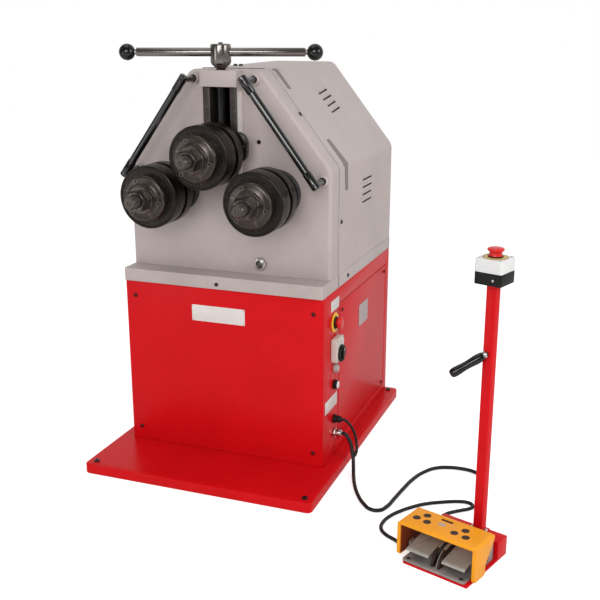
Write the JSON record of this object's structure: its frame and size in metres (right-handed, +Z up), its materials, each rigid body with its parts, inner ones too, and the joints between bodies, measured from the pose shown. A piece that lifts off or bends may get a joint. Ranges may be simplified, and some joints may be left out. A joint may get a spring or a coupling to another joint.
{
  "type": "ring roller",
  "caption": "Ring roller on a steel cabinet: screw-fed top roll, geared lower rolls, and a free-standing control post with foot pedals, joined by floor leads.",
  "frame": {"origin": "centre of the machine's base plate on the floor, on the underside of its middle rail", "axes": "+Z up, -Y out of the front face that carries the rolls, +X to the operator's right, towards the control stand"},
  "size_m": [1.2695, 1.1362, 1.259],
  "materials": {
    "red_paint": "gloss, fine texture",
    "grey_paint": "satin, hammered texture",
    "burnished_steel": "blackened and oiled",
    "bright_steel": "turned bright",
    "cast_iron": "machined, oiled",
    "bronze": "satin",
    "black_plastic": "satin",
    "white_plastic": "satin",
    "grey_plastic": "satin",
    "red_plastic": "gloss",
    "yellow_plastic": "satin moulded",
    "zinc_plate": "galvanised",
    "cable_jacket": "matt"
  },
  "bodies": {
    "machine": {"base_plate": "red_paint", "cabinet_shell": "red_paint", "front_panel": "red_paint", "side_panel": "red_paint", "bed_plate": "grey_paint", "front_frame": "grey_paint", "slide_housing": "grey_paint", "head_hood": "grey_paint", "rear_frame": "cast_iron", "screw_nut": "bronze", "oil_sight_glass": "bright_steel", "lower_left_bearing_housing": "cast_iron", "lower_right_bearing_housing": "cast_iron", "lower_left_rear_bearing": "bright_steel", "lower_right_rear_bearing": "bright_steel", "left_side_rod": "burnished_steel", "right_side_rod": "burnished_steel", "gearbox": "cast_iron", "drive_motor": "cast_iron", "main_switch_body": "grey_plastic", "branch_gland": "black_plastic", "control_gland": "bright_steel", "stand_foot": "red_paint", "stand_post": "red_paint", "post_grip": "black_plastic", "station_base": "black_plastic", "station_cover": "white_plastic", "pedal_plate": "zinc_plate", "pedal_hood": "yellow_plastic", "control_lead": "cable_jacket", "branch_lead": "cable_jacket", "pedal_lead": "cable_jacket"},
    "lower_left_spindle": {"lower_left_shaft": "bright_steel", "lower_left_roll": "burnished_steel", "lower_left_collar": "burnished_steel", "lower_left_nut": "burnished_steel", "lower_left_gear": "cast_iron"},
    "lower_right_spindle": {"lower_right_shaft": "bright_steel", "lower_right_roll": "burnished_steel", "lower_right_collar": "burnished_steel", "lower_right_nut": "burnished_steel", "lower_right_gear": "cast_iron"},
    "drive_pinion": {"pinion_shaft": "cast_iron"},
    "ram_slide": {"ram": "cast_iron", "ram_flange": "burnished_steel"},
    "upper_spindle": {"upper_shaft": "bright_steel", "upper_roll": "burnished_steel", "upper_collar": "burnished_steel", "upper_nut": "burnished_steel"},
    "feed_screw": {"spindle": "burnished_steel", "handle_bar": "burnished_steel", "handle_ball_left": "black_plastic", "handle_ball_right": "black_plastic"},
    "stop_button": {"cabinet_stop_button": "red_plastic"},
    "reset_push": {"reset_button": "grey_plastic"},
    "start_push": {"start_button": "white_plastic"},
    "switch_knob": {"main_switch_knob": "black_plastic"},
    "station_push": {"station_button": "red_plastic"},
    "left_treadle": {"left_pedal": "zinc_plate"},
    "right_treadle": {"right_pedal": "zinc_plate"}
  },
  "joints": [
    {"name": "lower_left_turn", "type": "hinge", "parent": "machine", "child": "lower_left_spindle", "pos_m": [-0.16, 0, 0.84], "axis": [0, 1, 0], "continuous": true},
    {"name": "lower_right_turn", "type": "hinge", "parent": "machine", "child": "lower_right_spindle", "pos_m": [0.16, 0, 0.84], "axis": [0, 1, 0], "continuous": true},
    {"name": "pinion_turn", "type": "hinge", "parent": "machine", "child": "drive_pinion", "pos_m": [0, 0, 0.84], "axis": [0, 1, 0], "continuous": true},
    {"name": "ram_travel", "type": "slide", "parent": "machine", "child": "ram_slide", "axis": [0, 0, 1], "range_m": [0, 0.075]},
    {"name": "upper_turn", "type": "hinge", "parent": "ram_slide", "child": "upper_spindle", "pos_m": [0, 0, 0.957], "axis": [0, 1, 0], "continuous": true},
    {"name": "screw_turn", "type": "hinge", "parent": "ram_slide", "child": "feed_screw", "pos_m": [0, -0.2055, 1.1], "axis": [0, 0, 1], "range_deg": [0, 5400]},
    {"name": "stop_press", "type": "slide", "parent": "machine", "child": "stop_button", "axis": [-1, 0, 0], "range_m": [0, 0.004], "stiffness_N_per_m": 700, "springref_m": -0.003},
    {"name": "reset_press", "type": "slide", "parent": "machine", "child": "reset_push", "axis": [-1, 0, 0], "range_m": [0, 0.0028], "stiffness_N_per_m": 500, "springref_m": -0.002},
    {"name": "start_press", "type": "slide", "parent": "machine", "child": "start_push", "axis": [-1, 0, 0], "range_m": [0, 0.0028], "stiffness_N_per_m": 500, "springref_m": -0.002},
    {"name": "switch_turn", "type": "hinge", "parent": "machine", "child": "switch_knob", "pos_m": [0.341, -0.14, 0.365], "axis": [1, 0, 0], "range_deg": [0, 90]},
    {"name": "station_press", "type": "slide", "parent": "machine", "child": "station_push", "axis": [0, 0, -1], "range_m": [0, 0.005], "stiffness_N_per_m": 800, "springref_m": -0.003},
    {"name": "left_pedal_press", "type": "hinge", "parent": "machine", "child": "left_treadle", "pos_m": [0.74227, -0.49429, 0.05], "axis": [0.9492, -0.3146, 0], "range_deg": [0, 8], "stiffness_Nm_per_rad": 4, "springref_deg": -8.59},
    {"name": "right_pedal_press", "type": "hinge", "parent": "machine", "child": "right_treadle", "pos_m": [0.83909, -0.52637, 0.05], "axis": [0.9492, -0.3146, 0], "range_deg": [0, 8], "stiffness_Nm_per_rad": 4, "springref_deg": -8.59}
  ],
  "couplings": [
    {"joint": "lower_right_turn", "follows": "lower_left_turn", "ratio": 1},
    {"joint": "pinion_turn", "follows": "lower_left_turn", "ratio": -3},
    {"joint": "ram_travel", "follows": "screw_turn", "m_per_rad": 0.00079577}
  ]
}
